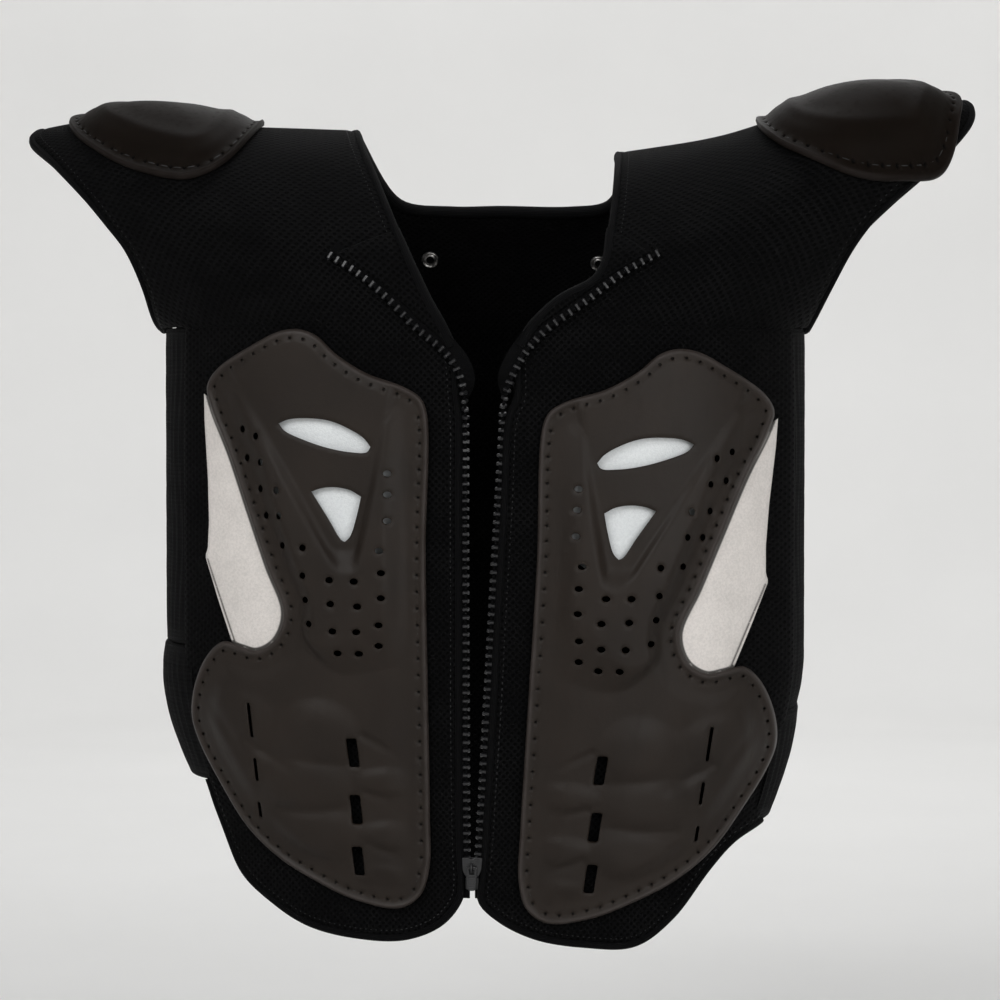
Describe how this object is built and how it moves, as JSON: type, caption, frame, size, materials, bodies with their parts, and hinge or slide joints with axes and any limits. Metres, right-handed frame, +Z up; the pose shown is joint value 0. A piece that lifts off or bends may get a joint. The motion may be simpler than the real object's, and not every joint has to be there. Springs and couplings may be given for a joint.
{
  "type": "motorcycle armour vest",
  "caption": "sleeveless black mesh armour vest with moulded perforated chest plates, domed shoulder caps, silver reflective panels and an open front zip",
  "frame": {"origin": "where the wearer's shoulders carry the vest, midway between front and back and between the two shoulders", "axes": "+X is the viewer's right across the shoulders, the front faces -Y, +Z is up"},
  "size_m": [0.5569, 0.266, 0.4964],
  "materials": {
    "mesh_cloth": "matt black padded mesh",
    "elastic_cloth": "matt black ribbed elastic",
    "armour_plastic": "satin dark grey moulded plastic",
    "silver_cloth": "retro-reflective silver",
    "zip_plastic": "black moulded teeth on woven tape",
    "dark_metal": "worn dark nickel"
  },
  "bodies": {
    "vest": {"front_panel_left": "mesh_cloth", "front_panel_right": "mesh_cloth", "back_panel": "mesh_cloth", "side_panel_left": "elastic_cloth", "side_panel_right": "elastic_cloth", "waist_band_left": "elastic_cloth", "waist_band_right": "elastic_cloth", "chest_shell_left": "armour_plastic", "chest_shell_right": "armour_plastic", "shoulder_cap_left": "armour_plastic", "shoulder_cap_right": "armour_plastic", "chest_reflector_left": "silver_cloth", "chest_reflector_right": "silver_cloth", "side_reflector_left": "silver_cloth", "side_reflector_right": "silver_cloth", "zip_tape_left": "zip_plastic", "zip_tape_right": "zip_plastic", "zip_box": "zip_plastic", "zip_slider": "dark_metal", "rivet_left": "dark_metal", "rivet_right": "dark_metal"},
    "pull": {"zip_pull": "dark_metal"}
  },
  "joints": [
    {"name": "pull_swing", "type": "hinge", "parent": "vest", "child": "pull", "pos_m": [0.001, -0.12941, -0.424], "axis": [-1, 0, 0], "range_deg": [0, 165]}
  ]
}
